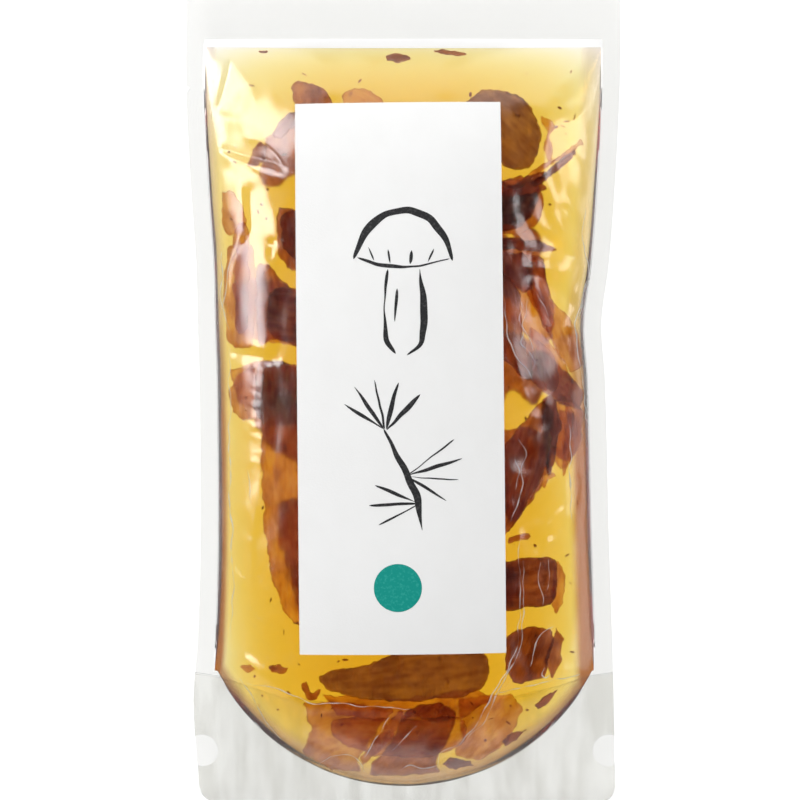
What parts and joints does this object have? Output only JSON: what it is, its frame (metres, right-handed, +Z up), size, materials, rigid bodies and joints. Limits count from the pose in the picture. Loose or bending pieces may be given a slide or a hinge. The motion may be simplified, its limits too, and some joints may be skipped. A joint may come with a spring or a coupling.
{
  "type": "stand-up pouch of sliced matsutake mushroom in broth",
  "caption": "Clear heat-sealed stand-up pouch, filled with amber broth and sliced matsutake mushroom, with a plain paper label, lying on its back.",
  "frame": {"origin": "middle of the pouch's outline, on the surface that it lies on", "axes": "+Y along the pouch towards its top seal, +X to the right of the label, +Z up out of the front film"},
  "size_m": [0.1201, 0.2251, 0.0251],
  "materials": {
    "clear_film": "clear glossy laminated film, pearly where it is sealed",
    "amber_broth": "clear amber liquid",
    "brown_mushroom": "wet, fibrous, reddish brown",
    "label_paper": "plain white washi-like paper"
  },
  "bodies": {
    "root": {"front_film": "clear_film", "back_film": "clear_film", "bottom_gusset": "clear_film", "broth": "amber_broth", "paper_label": "label_paper", "cap_piece_top_left": "brown_mushroom", "cap_piece_top": "brown_mushroom", "cap_slice_round": "brown_mushroom", "cap_slice_under_round": "brown_mushroom", "strip_upper_right": "brown_mushroom", "strip_across_right": "brown_mushroom", "strip_right": "brown_mushroom", "stem_slice_upper_right": "brown_mushroom", "strip_middle_right": "brown_mushroom", "cap_slice_right": "brown_mushroom", "sliver_right_edge": "brown_mushroom", "block_slice_right": "brown_mushroom", "block_slice_foot_right": "brown_mushroom", "cap_slice_foot": "brown_mushroom", "stem_slice_foot": "brown_mushroom", "cap_piece_left": "brown_mushroom", "cap_slice_left": "brown_mushroom", "stem_slice_long": "brown_mushroom", "strip_left_edge": "brown_mushroom", "mushroom_slice_back_1": "brown_mushroom", "mushroom_slice_back_2": "brown_mushroom", "mushroom_slice_back_3": "brown_mushroom", "mushroom_slice_back_4": "brown_mushroom", "mushroom_slice_back_5": "brown_mushroom", "stem_slice_back_1": "brown_mushroom", "stem_slice_back_2": "brown_mushroom"}
  },
  "joints": []
}
